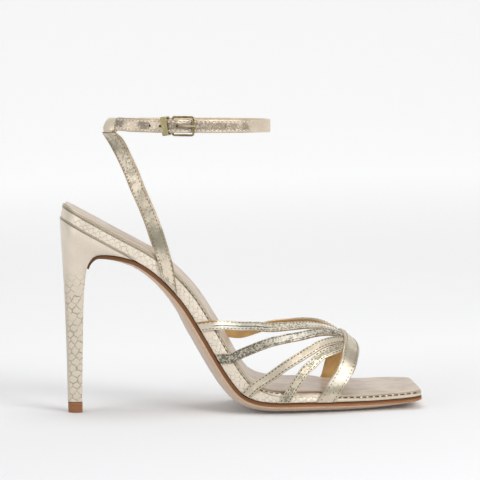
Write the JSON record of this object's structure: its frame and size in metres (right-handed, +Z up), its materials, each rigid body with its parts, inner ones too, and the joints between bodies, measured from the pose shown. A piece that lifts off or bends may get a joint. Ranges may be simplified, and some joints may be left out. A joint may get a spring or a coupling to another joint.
{
  "type": "heeled sandal",
  "caption": "Open sandal on a slim high heel, with a square toe, narrow straps meeting under a toe band, a sling behind the heel and a buckled ankle strap.",
  "frame": {"origin": "centre of the heel tip's face on the floor", "axes": "+X to the toe, +Y to the inner side of the foot, -Y to the outer side with the buckle, +Z up"},
  "size_m": [0.1982, 0.0808, 0.1653],
  "materials": {
    "gold_leather": "pale gold foil, snake embossed, satin",
    "heel_leather": "pale gold foil, plain above and embossed below, satin",
    "sock_leather": "champagne foil, smooth, soft sheen",
    "sole_leather": "painted tan leather with a dark brown edge",
    "tip_rubber": "brown top piece, matt",
    "pale_brass": "polished pale gold"
  },
  "bodies": {
    "root": {"outsole": "sole_leather", "footbed_rim": "gold_leather", "sock_lining": "sock_leather", "heel": "heel_leather", "heel_tip": "tip_rubber", "vamp_straps": "gold_leather", "heel_sling": "gold_leather", "ankle_strap": "gold_leather", "buckle_frame": "pale_brass", "buckle_prong": "pale_brass", "strap_keeper": "gold_leather"}
  },
  "joints": []
}
